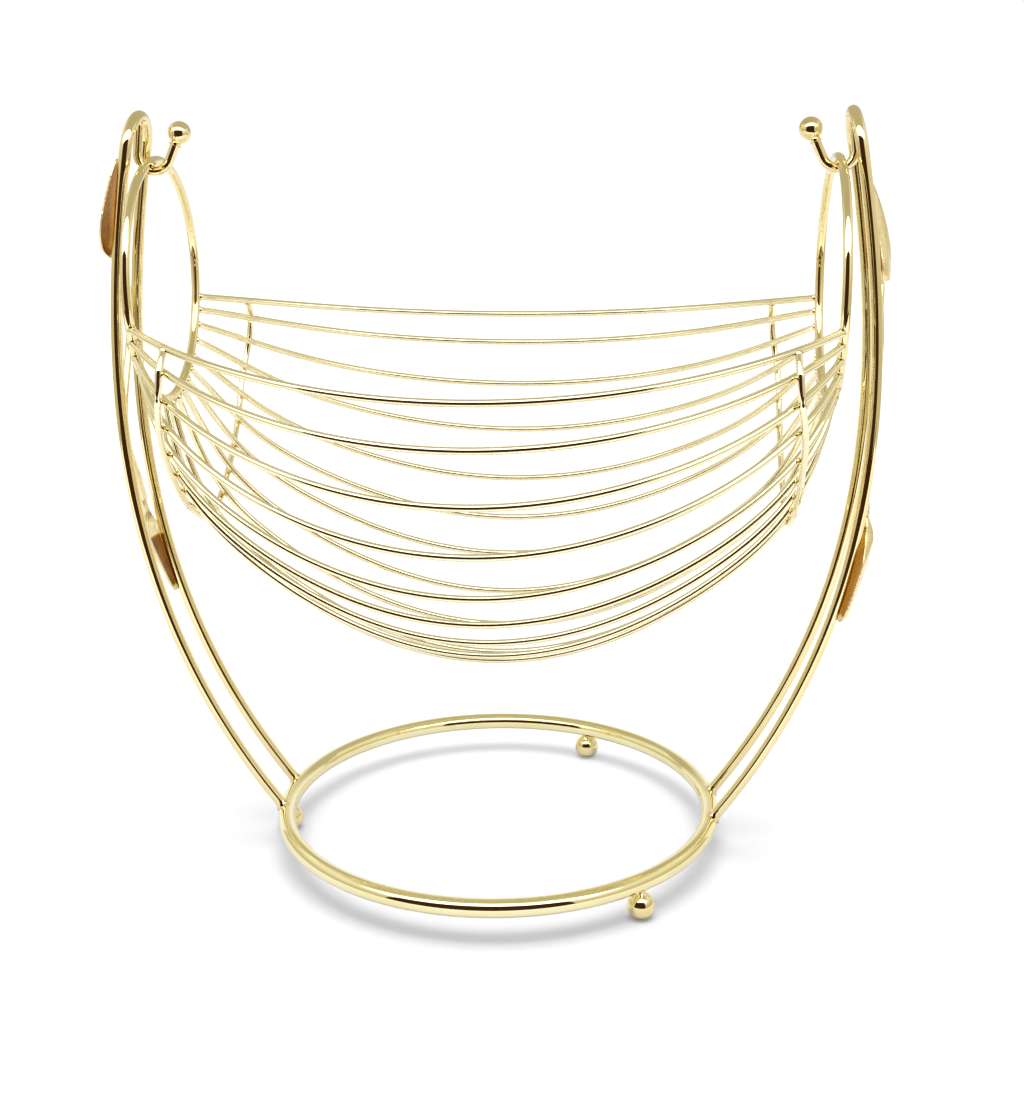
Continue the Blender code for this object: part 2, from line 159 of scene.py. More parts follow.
class Signal:
    """One value in a material's nodes; arithmetic on it adds Math nodes."""

    def __init__(self, tree, socket=None):
        self.tree = tree
        self.socket = socket

    def node(self, kind, settings=None, inputs=None, output=0):
        """Add a node, first its settings, then its inputs' values or links, and return one output."""
        made = self.tree.nodes.new(kind)
        for key, value in (settings or {}).items():
            setattr(made, key, value)
        for key, value in (inputs or {}).items():
            self.feed(made.inputs[key], value)
        return Signal(self.tree, made.outputs[output])

    def feed(self, socket, value):
        """Link a signal to a socket, or set the socket's own value."""
        if isinstance(value, Signal):
            self.tree.links.new(value.socket, socket)
        else:
            socket.default_value = value

    def math(self, operation, first, second=0.0, clamp=False):
        """Add one Math node."""
        settings = {"operation": operation, "use_clamp": clamp}
        return self.node("ShaderNodeMath", settings, {0: first, 1: second})

    def __add__(self, other):
        return self.math("ADD", self, other)

    def __radd__(self, other):
        return self.math("ADD", other, self)

    def __sub__(self, other):
        return self.math("SUBTRACT", self, other)

    def __rsub__(self, other):
        return self.math("SUBTRACT", other, self)

    def __mul__(self, other):
        return self.math("MULTIPLY", self, other)

    def __rmul__(self, other):
        return self.math("MULTIPLY", other, self)

    def limited(self):
        """Keep the value between 0 and 1."""
        return self.math("ADD", self, 0.0, clamp=True)

    def stepped(self, low, high):
        """Rise smoothly from 0 at low to 1 at high."""
        return self.node(
            "ShaderNodeMapRange", {"interpolation_type": "SMOOTHSTEP"},
            {"Value": self, "From Min": low, "From Max": high})

    def scaled(self, scale):
        """Stretch a vector by a scale for each axis."""
        return self.node("ShaderNodeVectorMath", {"operation": "MULTIPLY"}, {0: self, 1: scale})

    def noise(self, scale, detail=2.0, roughness=0.5):
        """Return a cloudy value round 0.5 that changes scale times over each unit of this vector."""
        return self.node(
            "ShaderNodeTexNoise", {"noise_dimensions": "3D"},
            {"Vector": self, "Scale": scale, "Detail": detail, "Roughness": roughness})

    def toned(self, start, end):
        """Blend two colours by this share."""
        return self.node(
            "ShaderNodeMix", {"data_type": "RGBA"},
            {0: self, 6: (*start, 1.0) if not isinstance(start, Signal) else start,
             7: (*end, 1.0) if not isinstance(end, Signal) else end}, output=2)


def new_finish(name):
    """Start a material and return it, its shader and a signal to build its nodes on."""
    material = bpy.data.materials.new(name)
    material.use_nodes = True
    tree = material.node_tree
    return material, tree.nodes["Principled BSDF"], Signal(tree)


# How often each pattern of the plating changes over a metre, twice across the rod and once along it
DRIFT_SCALE = (90.0, 90.0, 22.0)
CLOUD_SCALE = (260.0, 260.0, 120.0)
DENT_SCALE = (55.0, 55.0, 75.0)
DRAWN_SCALE_ALONG = 18.0
PEEL_SCALE = 700.0
# How far the gold turns warm, how far the welds turn amber, and what roughens the polish
WARM_SHARE = 0.5
BURNT_SHARE = 0.42
STREAK_ROUGHNESS = 0.05
WELD_ROUGHNESS = 0.14
# The full height of the relief in metres, and how much of it the lines, the peel and the welds take
ROD_RELIEF = 0.0001
DRAWN_RELIEF_SHARE = 0.006
PEEL_RELIEF_SHARE = 0.005
WELD_RELIEF_SHARE = 0.8


def rod_plating(name, drawn_scale, polish, dent, pale=PALE_GOLD, warm=WARM_GOLD):
    """Plated and polished rod.

    The colour drifts between pale and warm gold along the rod and turns amber
    at the welds. The polish is broken by fine lines drawn along the rod and by
    clouded patches. The surface keeps slow dents from bending and a faint peel.
    """
    material, shader, start = new_finish(name)
    place = start.node("ShaderNodeAttribute", {"attribute_name": "place"}, output=1)
    weld = start.node("ShaderNodeAttribute", {"attribute_name": "tint"}, output=2)
    drift = place.scaled(DRIFT_SCALE).noise(1.0, 3.0, 0.6).stepped(0.35, 0.72)
    clouds = place.scaled(CLOUD_SCALE).noise(1.0, 4.0, 0.6)
    drawn = place.scaled((drawn_scale, drawn_scale, DRAWN_SCALE_ALONG)).noise(1.0, 1.0, 0.5)
    peel = place.noise(PEEL_SCALE, 1.0, 0.5)
    waves = place.scaled(DENT_SCALE).noise(1.0, 1.0, 0.4)
    gilt = (drift * WARM_SHARE).toned(pale, warm)
    burnt = (weld * clouds.stepped(0.25, 0.75) * BURNT_SHARE).limited()
    start.feed(shader.inputs["Base Color"], burnt.toned(gilt, AMBER))
    shader.inputs["Metallic"].default_value = 1.0
    streaks = (clouds.stepped(0.45, 0.8) + drawn.stepped(0.55, 0.85)) * STREAK_ROUGHNESS * dent
    rough = polish + streaks + weld * WELD_ROUGHNESS
    start.feed(shader.inputs["Roughness"], rough.limited())
    fine = waves * dent + drawn * DRAWN_RELIEF_SHARE + peel * PEEL_RELIEF_SHARE
    relief = fine + weld * clouds * WELD_RELIEF_SHARE
    bump = start.node(
        "ShaderNodeBump", inputs={"Strength": 1.0, "Distance": ROD_RELIEF, "Height": relief})
    start.feed(shader.inputs["Normal"], bump)
    return material


def round_path(radius, count):
    """Return the two coordinates of count points round a circle."""
    turn = np.linspace(0.0, 2.0 * math.pi, count, endpoint=False)
    return radius * np.cos(turn), radius * np.sin(turn)


base_low, base_high = (np.array(corner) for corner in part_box("base_ring"))
base_rod = (base_high[2] - base_low[2]) / 2.0
base_radius = (base_high[0] - base_low[0]) / 2.0 - base_rod
base_level = (base_high[2] + base_low[2]) / 2.0
# The base ring took a lighter and greener gold than the arms
PALE_BASE_GOLD = (0.945, 0.865, 0.530)
WARM_BASE_GOLD = (0.870, 0.735, 0.340)
base_gold = rod_plating(
    "base_ring_plating", drawn_scale=700.0, polish=0.045, dent=0.6, pale=PALE_BASE_GOLD, warm=WARM_BASE_GOLD)
across, deep = round_path(base_radius, BASE_STEPS)
base_path = np.column_stack((across, deep, np.full(BASE_STEPS, base_level)))
# The two rods of each arm stand this far apart
ARM_SPACING = 0.028
# Where the arms' welds lie on the base ring, as shares of its rod, and how far their heat stained the gold
ARM_WELD_OUT_SHARE = 0.7
ARM_WELD_UP_SHARE = 0.6
ARM_STAIN = 0.006
weld_reach = math.sqrt(base_radius ** 2 - (ARM_SPACING / 2.0) ** 2)
arm_welds = np.array([
    (side * (weld_reach + base_rod * ARM_WELD_OUT_SHARE), end * ARM_SPACING / 2.0,
     base_level + base_rod * ARM_WELD_UP_SHARE)
    for side in (-1.0, 1.0) for end in (-1.0, 1.0)])
shape = swept(base_path, base_rod, (0.0, 0.0, 1.0), BASE_SIDES, closed=True)
add_piece(
    "base_ring_rod", shape, base_gold, "stand", ["base_ring"],
    near_welds(shape[0], arm_welds, ARM_STAIN))

# Ball feet
# Three 12 mm balls, drop welded under the base ring a little outside its middle
# line, each flattened by a hair where it stands.

FOOT_RADIUS = 0.006
FOOT_NECK = 0.0009
FOOT_NECK_RADIUS = 0.0024
BALL_ROWS = 48
BALL_COLUMNS = 64
COLLAR_SHARE = 0.86
FOOT_STAIN = 0.0032
# A direction that no neck points in
ASKEW = (0.3, 1.0, 0.2)


def globe(centre, radius, neck_direction, neck, neck_radius, flat=None):
    """Turn a ball's outline round the direction of its neck.

    The outline is a circle. Past the collar's share of the radius it eases out
    by the neck's length and stays as wide as the neck. No point lies lower
    than the flat, if one is given.
    """
    centre = np.asarray(centre, dtype=float)
    axis = unit(np.asarray(neck_direction, dtype=float))
    first = unit(np.cross(axis, ASKEW))
    second = np.cross(axis, first)
    tilt = np.linspace(math.pi, 0.0, BALL_ROWS)[1:-1]
    turn = np.linspace(0.0, 2.0 * math.pi, BALL_COLUMNS, endpoint=False)
    collar = eased((np.cos(tilt) - COLLAR_SHARE) / (1.0 - COLLAR_SHARE))
    reach = radius * np.cos(tilt) + neck * collar
    wide = np.maximum(radius * np.sin(tilt), neck_radius * collar)
    spoke = np.cos(turn)[None, :, None] * first + np.sin(turn)[None, :, None] * second
    grid = centre + reach[:, None, None] * axis + wide[:, None, None] * spoke
    tips = (centre - axis * radius, centre + axis * (radius + neck))
    points, faces, place = skinned(grid, grid - centre, tips)
    if flat is not None:
        points[:, 2] = np.maximum(points[:, 2], flat)
    return points, faces, place


ball_gold = rod_plating("ball_plating", drawn_scale=500.0, polish=0.03, dent=0.2)
for word in ("back", "left", "front"):
    low, high = (np.array(corner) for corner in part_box("foot_ball_" + word))
    middle = (low + high) / 2.0
    middle[2] = high[2] - FOOT_RADIUS
    to_ring = np.append(unit(middle[:2]) * base_radius, base_level) - middle
    shape = globe(middle, FOOT_RADIUS, to_ring, FOOT_NECK, FOOT_NECK_RADIUS, flat=low[2])
    seat = middle + unit(to_ring) * FOOT_RADIUS
    add_piece(
        "foot_" + word, shape, ball_gold, "stand", ["foot_ball_" + word],
        near_welds(shape[0], seat, FOOT_STAIN))

# Arms
# Each arm is one 5 mm rod, bent to a hairpin with its two legs 28 mm apart and
# bowed outwards, and welded to the base ring at both ends.

ARM_ROD = 0.0025
ARM_TOP = (0.1502, 0.3132)
ARM_LOW_BULGE = (0.1678, 0.109)
ARM_HIGH_BULGE = (0.1696, 0.2116)
ARM_LEG_POINTS = 400
ARM_BEND_POINTS = 80
ARM_STEPS = 520
ROD_SIDES = 36
WELD_FLARE = 0.0013
WELD_LENGTH = 0.0022
# How far from the middle of the base ring's rod the arm's ends stop, and how much longer that makes
# their flare, as shares of that rod
ARM_CUT_SHARE = 0.75
ARM_FLARE_SHARE = 0.3
ARM_FACING_LIFT = 0.2
half_spacing = ARM_SPACING / 2.0


def bezier(controls, count):
    """Return points along a cubic curve through its first and last controls.

    At a share of the way the controls weigh the rest cubed, 3 times the rest
    squared times the share, 3 times the rest times the share squared, and the
    share cubed.
    """
    share = np.linspace(0.0, 1.0, count)[:, None]
    rest = 1.0 - share
    start, first, second, end = (np.array(control) for control in controls)
    near_start = rest ** 3 * start + 3.0 * rest ** 2 * share * first
    near_end = 3.0 * rest * share ** 2 * second + share ** 3 * end
    return near_start + near_end


def arm_leg():
    """Return reach and height along one leg of an arm, from the base up."""
    return bezier(((weld_reach, base_level), ARM_LOW_BULGE, ARM_HIGH_BULGE, ARM_TOP), ARM_LEG_POINTS)


def turned(points, side):
    """Turn points half a turn about Z for the left side."""
    return points * np.array((side, side, 1.0))


def even(path, count):
    """Return a path's shape with count points spaced evenly along it."""
    along = distance_along(path, False)
    place = np.linspace(0.0, along[-1], count)
    return np.column_stack([np.interp(place, along, path[:, axis]) for axis in range(path.shape[1])])


def cut_back(path, start, end):
    """Leave out the parts of a path within the given distances from its ends."""
    along = distance_along(path, False)
    place = np.concatenate(((start,), along[(along > start) & (along < along[-1] - end)], (along[-1] - end,)))
    return np.column_stack([np.interp(place, along, path[:, axis]) for axis in range(path.shape[1])])


arm_lean = unit(np.array(ARM_TOP) - np.array(ARM_HIGH_BULGE))


def arm_line():
    """Return the middle line of the right arm: up the front leg, over the bend and down the back leg."""
    leg = arm_leg()
    front = np.column_stack((leg[:, 0], np.full(len(leg), -half_spacing), leg[:, 1]))
    turn = np.linspace(0.0, math.pi, ARM_BEND_POINTS)[1:-1]
    lift = half_spacing * np.sin(turn)
    bend = np.column_stack((
        ARM_TOP[0] + arm_lean[0] * lift, -half_spacing * np.cos(turn), ARM_TOP[1] + arm_lean[1] * lift))
    return np.vstack((front, bend, front[::-1] * np.array((1.0, -1.0, 1.0))))


def flared(path, radius, start=0.0, end=0.0, length=WELD_LENGTH):
    """Return a rod's radius along its path, swelling by start and end into its welds.

    The swelling falls off as the third power of the nearness to the end.
    """
    along = distance_along(path, False)
    from_start = np.clip(1.0 - along / length, 0.0, 1.0) ** 3
    from_end = np.clip(1.0 - (along[-1] - along) / length, 0.0, 1.0) ** 3
    return radius + start * from_start + end * from_end


arm_gold = rod_plating("arm_plating", drawn_scale=900.0, polish=0.04, dent=0.6)
BODY_SIDES = (("left", -1.0), ("right", 1.0))
for word, side in BODY_SIDES:
    line = even(cut_back(arm_line(), base_rod * ARM_CUT_SHARE, base_rod * ARM_CUT_SHARE), ARM_STEPS)
    line = turned(line, side)
    thick = flared(line, ARM_ROD, WELD_FLARE, WELD_FLARE, WELD_LENGTH + base_rod * ARM_FLARE_SHARE)
    shape = swept(line, thick, (1.0, 0.0, ARM_FACING_LIFT * side), ROD_SIDES)
    add_piece(
        "arm_hairpin_" + word, shape, arm_gold, "stand", ["arm_" + word],
        near_welds(shape[0], arm_welds, ARM_STAIN))

# Hooks
# A J of 4 mm rod is welded under each arm's bend, and a 9.5 mm ball is welded on
# its tip so that the end ring can't slip off.

HOOK_ROD = 0.002
HOOK_SETBACK = 0.0077
HOOK_DROP = 0.0086
HOOK_BEND = 0.0070
HOOK_LEAN = math.radians(24.5)
HOOK_TIP = 0.0127
HOOK_BALL = 0.00475
BALL_NECK = 0.0007
BALL_NECK_RADIUS = 0.0026
HOOK_SHANK_POINTS = 40
HOOK_BEND_POINTS = 60
HOOK_STEPS = 150
HOOK_FLARE = 0.0012
HOOK_FLARE_LENGTH = 0.0032
# How far from the middle of the arm's rod and of the ball the J's ends stop, as shares of them
HOOK_CUT_SHARE = 0.6
BALL_CUT_SHARE = 0.7
HOOK_STAIN = 0.0052
HOOK_BALL_STAIN = 0.0022
swing_level = ARM_TOP[1] - HOOK_DROP
ring_reach = ARM_TOP[0] - HOOK_SETBACK


def hook_line():
    """Return the right J from the middle of the arm's bend down, round and up to the ball's middle."""
    top = np.array(ARM_TOP) + arm_lean * half_spacing
    bend_level = swing_level + HOOK_BEND
    shank = np.linspace(top, (ring_reach + HOOK_BEND, bend_level), HOOK_SHANK_POINTS)
    turn = -np.linspace(0.0, math.pi - HOOK_LEAN, HOOK_BEND_POINTS)[1:]
    bend = np.column_stack((ring_reach + HOOK_BEND * np.cos(turn), bend_level + HOOK_BEND * np.sin(turn)))
    along = np.linspace(0.0, HOOK_TIP, HOOK_SHANK_POINTS)[1:, None]
    tip = bend[-1] + along * np.array((-math.sin(HOOK_LEAN), math.cos(HOOK_LEAN)))
    flat = np.vstack((shank, bend, tip))
    return np.column_stack((flat[:, 0], np.zeros(len(flat)), flat[:, 1]))


hook_gold = rod_plating("hook_plating", drawn_scale=900.0, polish=0.04, dent=0.6)
for word, side in BODY_SIDES:
    whole = turned(hook_line(), side)
    line = even(cut_back(whole, ARM_ROD * HOOK_CUT_SHARE, HOOK_BALL * BALL_CUT_SHARE), HOOK_STEPS)
    thick = flared(line, HOOK_ROD, HOOK_FLARE, 0.0, HOOK_FLARE_LENGTH)
    shape = swept(line, thick, (0.0, 1.0, 0.0), ROD_SIDES)
    add_piece(
        "hook_j_" + word, shape, hook_gold, "stand", ["hook_" + word],
        near_welds(shape[0], (line[0], whole[-1]), HOOK_STAIN))
    shape = globe(whole[-1], HOOK_BALL, whole[-2] - whole[-1], BALL_NECK, BALL_NECK_RADIUS)
    add_piece(
        "hook_tip_" + word, shape, ball_gold, "stand", ["hook_ball_" + word],
        near_welds(shape[0], whole[-1] + unit(whole[-2] - whole[-1]) * HOOK_BALL, HOOK_BALL_STAIN))

# Vines
# A cast vine is brazed to the outer side of each arm: a hollow leaf near the
# top, a wavy stem between the rods, and a second leaf lower down. The castings
# keep the grain of their mould. Their hollows carry painted shade and a painted
# reflection of the gold rods: amber, deepening to dark brown.

LEAF_THICKNESS = 0.0011
LEAF_FREE_EDGE_DROP = 0.0035
LEAF_TUCKED_EDGE_DROP = 0.0055
LEAF_FOOT_SHARE = 0.08
UPPER_LEAF = {
    "length": 0.0425, "half_width": 0.015, "offset": 0.012, "base_lift": 0.6, "tip_lift": 0.1,
    "fullness": 1.0, "neck": 1.0}
LOWER_LEAF = {
    "length": -0.045, "half_width": 0.0105, "offset": -0.014, "base_lift": 0.2, "tip_lift": 0.42,
    "fullness": 0.6, "neck": 0.35}
# No two were bent alike: how high the crown stands, where it crests, how late it sinks,
# how much painted shade browns the hollow (most on the lower left leaf, which lies in shade), and where the
# hollow starts
LEAF_BENDS = {
    "upper_left": (0.0062, 0.13, 1.0, 0.50, 0.02), "upper_right": (0.0054, 0.34, 1.9, 0.25, 0.02),
    "lower_left": (0.0046, 0.30, 1.0, 1.50, 0.42), "lower_right": (0.0046, 0.22, 0.9, 0.45, 0.10)}
UPPER_TIP_DROPS = {"left": 0.0035, "right": 0.012}
LOWER_BASE_LEVEL = 0.160
# The hollow's line of darkest painted shade lies this far across, and its rim stays pale from here out
LEAF_SHADE_LINE = -0.15
LEAF_RIM = 0.84
LEAF_ROWS = 150
LEAF_COLUMNS = 88
# The brown of the hollows' deepest painted shade, also used for the scars
SHADE_AND_SCAR_BROWN = (0.130, 0.045, 0.006)
STEM_ROD = 0.0016
STEM_OUTSET = 0.002
STEM_WAVE_LENGTH = 0.094
STEM_CREST = 0.240
STEM_DRIFT = 0.002
STEM_RISE = 0.012
STEM_STEPS = 200
STEM_SIDES = 24
# How far apart the solids of neighbouring pieces lie
GAP = 0.0003
# The power that squares off a leaf's edge, and the blur that rounds its outline's corners
EDGE_POWER = 0.4
OUTLINE_BLUR = 0.04
OUTLINE_BLUR_STEPS = 9
END_ROUNDING = 0.02
END_WIDTH_SHARE = 0.3
NECK_START = 0.12
NECK_LENGTH = 0.3
LEAST_RISE = 0.0003
# Where along the free edge the beads run, how fast they fade in, how tall they are and how close
BEADS_FROM = 0.45
BEADS_TO = 0.9
BEADS_FADE = 0.1
BEAD_SHARE = 0.05
BEAD_RATE = 120.0
MIDRIB_WIDTH = 0.045
MIDRIB_DEPTH = 0.00022
VEIN_DEPTH = 0.00012
VEIN_COUNT = 8.0
VEIN_SLANT = 1.1
HOLLOW_SIDE_FADE = 0.1
HOLLOW_END_FADE = 0.03
HOLLOW_END = 0.97
# How wide the line of darkest painted shade along a hollow is
SHADE_LINE_WIDTH = 0.28
stem_sway = half_spacing - math.sqrt((ARM_ROD + STEM_ROD + GAP) ** 2 - STEM_OUTSET ** 2)

# Distance along a leaf from its base, and half-width there
LEAF_OUTLINE_SHARES = (
    (0.00, 0.20), (0.02, 0.38), (0.05, 0.57), (0.10, 0.76), (0.16, 0.90), (0.23, 0.98), (0.30, 1.00),
    (0.42, 0.93), (0.55, 0.78), (0.70, 0.58), (0.83, 0.40), (0.93, 0.26), (1.00, 0.14),
)


def beside_arm(levels, outward):
    """Return reach and height of points that stand off an arm's legs at given heights on them."""
    leg = arm_leg()
    slope = np.gradient(leg[:, 0], leg[:, 1])
    reach = np.interp(levels, leg[:, 1], leg[:, 0])
    tilt = np.interp(levels, leg[:, 1], slope)
    length = np.sqrt(1.0 + tilt ** 2)
    return reach + outward / length, levels - outward * tilt / length


def sway(levels):
    """Return how far the stem lies to the back of the right arm's middle: a cosine of the height."""
    wave = np.cos(2.0 * math.pi * (STEM_CREST - levels) / STEM_WAVE_LENGTH)
    return -STEM_DRIFT - (stem_sway - STEM_DRIFT) * wave


def leaf_lift(along, leaf, crest, sink_power):
    """Return how much of the crown stands at a share of the way from base to tip.

    It rises from the base lift by a quarter wave to the crest, sinks by a power
    of the way past it, and falls to nothing by a quarter wave over the foot's
    share, just before the tip.
    """
    rising = mixed(leaf["base_lift"], 1.0, np.sin(np.minimum(along / crest, 1.0) * math.pi / 2.0))
    past = np.clip((along - crest) / (1.0 - crest), 0.0, 1.0)
    sinking = mixed(1.0, leaf["tip_lift"], past ** sink_power)
    foot = np.sin(np.minimum((1.0 - along) / LEAF_FOOT_SHARE, 1.0) * math.pi / 2.0)
    return rising * sinking * foot


def leaf_shell(leaf, base, bend):
    """Return one leaf on the right arm as a closed skin, and its tint.

    The tint is painted shade: 0 outside and on the rim, from 0.5 up in the hollow
    and highest along the hollow's darkest line.

    The inner face stands off the rods by the crown, less an edge drop times the
    square of the way across, all times the lift. A row's section is a loop
    round that face: its way across is the cosine of the turn, its way through
    the thickness the 0.4th power of the sine. Veins are grooved into the outer
    side, and the free edge is beaded by a fine sine towards the tip.
    """
    table = np.array(LEAF_OUTLINE_SHARES)
    along = (1.0 - np.cos(np.linspace(0.0, math.pi, LEAF_ROWS)))[:, None] / 2.0
    turn = np.linspace(0.0, 2.0 * math.pi, LEAF_COLUMNS, endpoint=False)[None, :]
    across = -math.copysign(1.0, leaf["length"]) * np.cos(turn)
    through = np.sign(np.sin(turn)) * np.abs(np.sin(turn)) ** EDGE_POWER
    blurs = np.linspace(-OUTLINE_BLUR, OUTLINE_BLUR, OUTLINE_BLUR_STEPS)
    width = np.mean([np.interp(along + blur, table[:, 0], table[:, 1]) for blur in blurs], axis=0)
    from_end = np.clip(np.minimum(along, 1.0 - along) / END_ROUNDING, 0.0, 1.0)
    width = width ** leaf["fullness"] * mixed(END_WIDTH_SHARE, 1.0, np.sqrt(1.0 - (1.0 - from_end) ** 2))
    width = width * mixed(leaf["neck"], 1.0, eased((along - NECK_START) / NECK_LENGTH))
    free = across * math.copysign(1.0, leaf["offset"]) > 0.0
    beaded = eased((along - BEADS_FROM) / BEADS_FADE) * eased((BEADS_TO - along) / BEADS_FADE)
    beaded = beaded * free * np.abs(across) ** 6
    width = width * (1.0 + BEAD_SHARE * beaded * np.sin(along * BEAD_RATE))
    middle = mixed(leaf["offset"], sway(base), (1.0 - along) ** 2)
    drop = np.where(free, LEAF_FREE_EDGE_DROP, LEAF_TUCKED_EDGE_DROP)
    crown, crest, sink_power, hollow_shade, hollow_start = bend
    rise = (crown - drop * across ** 2).clip(LEAST_RISE) * leaf_lift(along, leaf, crest, sink_power)
    rib = np.exp(-(across * width / MIDRIB_WIDTH) ** 2)
    vein_wave = np.cos(2.0 * math.pi * (along * VEIN_COUNT - np.abs(across) * VEIN_SLANT))
    side_veins = np.maximum(vein_wave, 0.0) ** 6
    groove = (MIDRIB_DEPTH * rib + VEIN_DEPTH * side_veins * (1.0 - across ** 4)) * np.maximum(through, 0.0)
    outward = ARM_ROD + GAP + rise + LEAF_THICKNESS * (1.0 + through) / 2.0 - groove
    levels = base + leaf["length"] * along + np.zeros_like(across)
    reach, level = beside_arm(levels, outward)
    grid = np.stack((reach, middle + leaf["half_width"] * width * across, level), axis=-1)
    inside = eased(-2.0 * through) * eased((LEAF_RIM - np.abs(across)) / HOLLOW_SIDE_FADE)
    inside = inside * eased((along - hollow_start) / HOLLOW_END_FADE)
    inside = inside * eased((HOLLOW_END - along) / HOLLOW_END_FADE)
    # Painted shade: the hollow browns more towards its darkest line, and more on leaves that lie in shade
    shade_line = np.exp(-((across - LEAF_SHADE_LINE * np.sign(leaf["offset"])) / SHADE_LINE_WIDTH) ** 2)
    tint = (inside * (0.5 + 0.5 * hollow_shade * mixed(0.5, 1.0, shade_line))).ravel()
    shape = skinned(grid, grid, (grid[0].mean(axis=0), grid[-1].mean(axis=0)))
    return shape, np.append(tint, (0.0, 0.0))


GRAIN_SCALE = 900.0
PATCH_SCALE = 170.0
SCAR_SCALE = (900.0, 900.0, 260.0)
CAST_WARM_SHARE = 0.6
# How far painted shade browns the hollow at least, how much more its patches add, and how brown a scar is
HOLLOW_SHADE_SHARE = 0.7
PATCHY_SHARE = 0.3
SCAR_SHARE = 0.5
CAST_ROUGHNESS = 0.26
PATCH_ROUGHNESS = 0.14
HOLLOW_POLISH = 0.1
# The full height of the relief in metres, and how much of it the grain, the patches and the scars take
CAST_RELIEF = 0.0002
GRAIN_RELIEF_SHARE = 0.32
HOLLOW_SMOOTHING_SHARE = 0.2
PATCH_RELIEF_SHARE = 0.5
SCAR_RELIEF_SHARE = 0.8


def cast_finish(name):
    """Cast leaf: pale and sandy outside with a few dark scars, with painted shade turning the hollow amber to
    brown.
    """
    material, shader, start = new_finish(name)
    place = start.node("ShaderNodeTexCoord", output=3)
    hollow = start.node("ShaderNodeAttribute", {"attribute_name": "tint"}, output=2)
    grain = place.noise(GRAIN_SCALE, 2.0, 0.5)
    patch = place.noise(PATCH_SCALE, 3.0, 0.6)
    scars = place.scaled(SCAR_SCALE).noise(1.0, 2.0, 0.5).stepped(0.70, 0.78)
    gilt = (patch.stepped(0.35, 0.7) * CAST_WARM_SHARE).toned(PALE_GOLD, WARM_GOLD)
    # Painted shade and reflection turn the hollow amber, then brown, deepest along its darkest line; scars
    # are real marks
    amber = hollow.stepped(0.0, 0.5).toned(gilt, AMBER)
    patchy = HOLLOW_SHADE_SHARE + patch.stepped(0.3, 0.7) * PATCHY_SHARE
    deep = (hollow.stepped(0.55, 1.0) * patchy + scars * SCAR_SHARE).limited()
    start.feed(shader.inputs["Base Color"], deep.toned(amber, SHADE_AND_SCAR_BROWN))
    shader.inputs["Metallic"].default_value = 1.0
    rough = CAST_ROUGHNESS + patch.stepped(0.3, 0.8) * PATCH_ROUGHNESS - hollow * HOLLOW_POLISH
    start.feed(shader.inputs["Roughness"], rough.limited())
    sandy = grain * (GRAIN_RELIEF_SHARE - hollow * HOLLOW_SMOOTHING_SHARE)
    relief = sandy + patch * PATCH_RELIEF_SHARE - scars * SCAR_RELIEF_SHARE
    bump = start.node("ShaderNodeBump", inputs={"Strength": 1.0, "Distance": CAST_RELIEF, "Height": relief})
    start.feed(shader.inputs["Normal"], bump)
    return material


def stem_line(upper_base):
    """Return the stem's middle line on the right arm, which ends under the bases of both leaves.

    It follows the sway, and over the rise it eases out from the stem's outset
    to the gap and half a leaf's thickness off the rods.
    """
    levels = np.linspace(upper_base, LOWER_BASE_LEVEL, STEM_STEPS)
    near_upper = eased(1.0 - (upper_base - levels) / STEM_RISE)
    near_lower = eased(1.0 - (levels - LOWER_BASE_LEVEL) / STEM_RISE)
    at_leaf = ARM_ROD + GAP + LEAF_THICKNESS / 2.0
    outward = mixed(STEM_OUTSET, at_leaf, np.maximum(near_upper, near_lower))
    reach, level = beside_arm(levels, outward)
    return np.column_stack((reach, sway(levels), level))


leaf_gold = cast_finish("cast_leaf_plating")
stem_gold = rod_plating("stem_plating", drawn_scale=500.0, polish=0.10, dent=1.2)
for word, side in BODY_SIDES:
    upper_base = ARM_TOP[1] - UPPER_TIP_DROPS[word] - UPPER_LEAF["length"]
    leaves = (("upper", UPPER_LEAF, upper_base), ("lower", LOWER_LEAF, LOWER_BASE_LEVEL))
    for level_word, leaf, base in leaves:
        (points, faces, place), tint = leaf_shell(leaf, base, LEAF_BENDS[level_word + "_" + word])
        points = turned(points, side)
        add_piece(
            "leaf_{}_{}".format(level_word, word), (points, faces, place), leaf_gold, "stand",
            ["{}_leaf_{}".format(level_word, word)], tint)
    line = turned(stem_line(upper_base), side)
    shape = swept(line, STEM_ROD, (1.0, 0.0, 0.0), STEM_SIDES)
    add_piece("stem_" + word, shape, stem_gold, "stand", ["vine_stem_" + word])

# Long wires
# Nineteen drawn 3 mm wires sag from ring to ring: nine pairs from the rim down
# and one along the bottom, each butt welded to the inner side of both rings.

RING_RADIUS = 0.0505
RING_ROD = 0.002
ring_level = swing_level + HOOK_ROD + GAP + RING_ROD - RING_RADIUS
WIRE_ROD = 0.0015
WIRE_SIDES = 28
WIRE_STEPS = 180
WIRE_POINTS = 600
SECTION_POINTS = 200
WIRE_FLARE = 0.0006
WIRE_FLARE_LENGTH = 0.0016
WIRE_FACING_LEAN = 0.35
WIRE_STAIN = 0.0032
# How far a wire or rib stops from the middle of the rod that it ends on, as a share of that rod
BUTT_SHARE = 0.8
